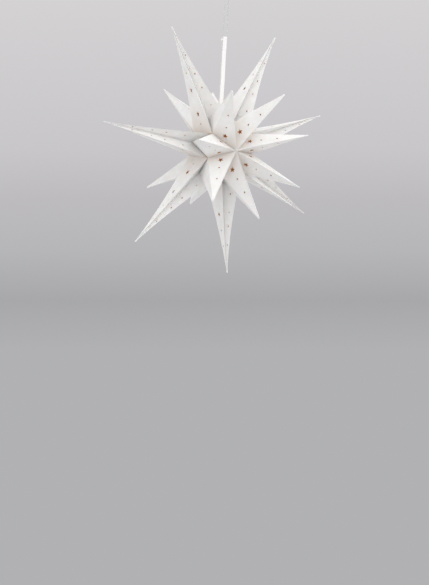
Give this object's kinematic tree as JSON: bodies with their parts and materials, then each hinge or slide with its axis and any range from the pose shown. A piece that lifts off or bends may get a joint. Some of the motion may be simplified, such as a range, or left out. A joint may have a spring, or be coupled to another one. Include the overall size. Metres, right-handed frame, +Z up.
{
  "type": "folded paper star",
  "caption": "Folded white card snowflake star with long and short points and cut-out patterns, hanging by a tape and a clear line from a screw hook.",
  "frame": {"origin": "centre of the hook collar's top face, where it meets the ceiling, on the screw's axis", "axes": "+Z up along the screw; -Y towards the side the star's front faces; +X to the right seen from the front"},
  "size_m": [0.5825, 0.3262, 0.7079],
  "materials": {
    "card": "matt uncoated card",
    "cotton_tape": "woven cotton",
    "clear_line": "clear nylon",
    "knotted_line": "knotted nylon",
    "grey_board": "raw grey board",
    "pad": "hook and loop fabric",
    "coated_steel": "white plastic coating"
  },
  "bodies": {
    "hook": {"ceiling_hook": "coated_steel"},
    "line": {"hanging_line": "clear_line"},
    "star": {"line_eye": "clear_line", "line_knot": "knotted_line", "hanging_tape": "cotton_tape", "tape_anchor": "grey_board", "pad_front_hook": "pad", "pad_front_loop": "pad", "pad_back_hook": "pad", "pad_back_loop": "pad", "card_1_left": "card", "card_2_left": "card", "card_3_left": "card", "card_4_left": "card", "card_5_left": "card", "card_6_left": "card", "card_7_left": "card", "card_1_right": "card", "card_2_right": "card", "card_3_right": "card", "card_4_right": "card", "card_5_right": "card", "card_6_right": "card", "card_7_right": "card"}
  },
  "joints": [
    {"name": "swing", "type": "hinge", "parent": "hook", "child": "line", "pos_m": [0, 0, -0.0305], "axis": [0, 1, 0], "range_deg": [-30, 30]},
    {"name": "turn", "type": "hinge", "parent": "line", "child": "star", "pos_m": [0, 0, -0.13], "axis": [0, 0, 1], "range_deg": [-180, 180]}
  ]
}
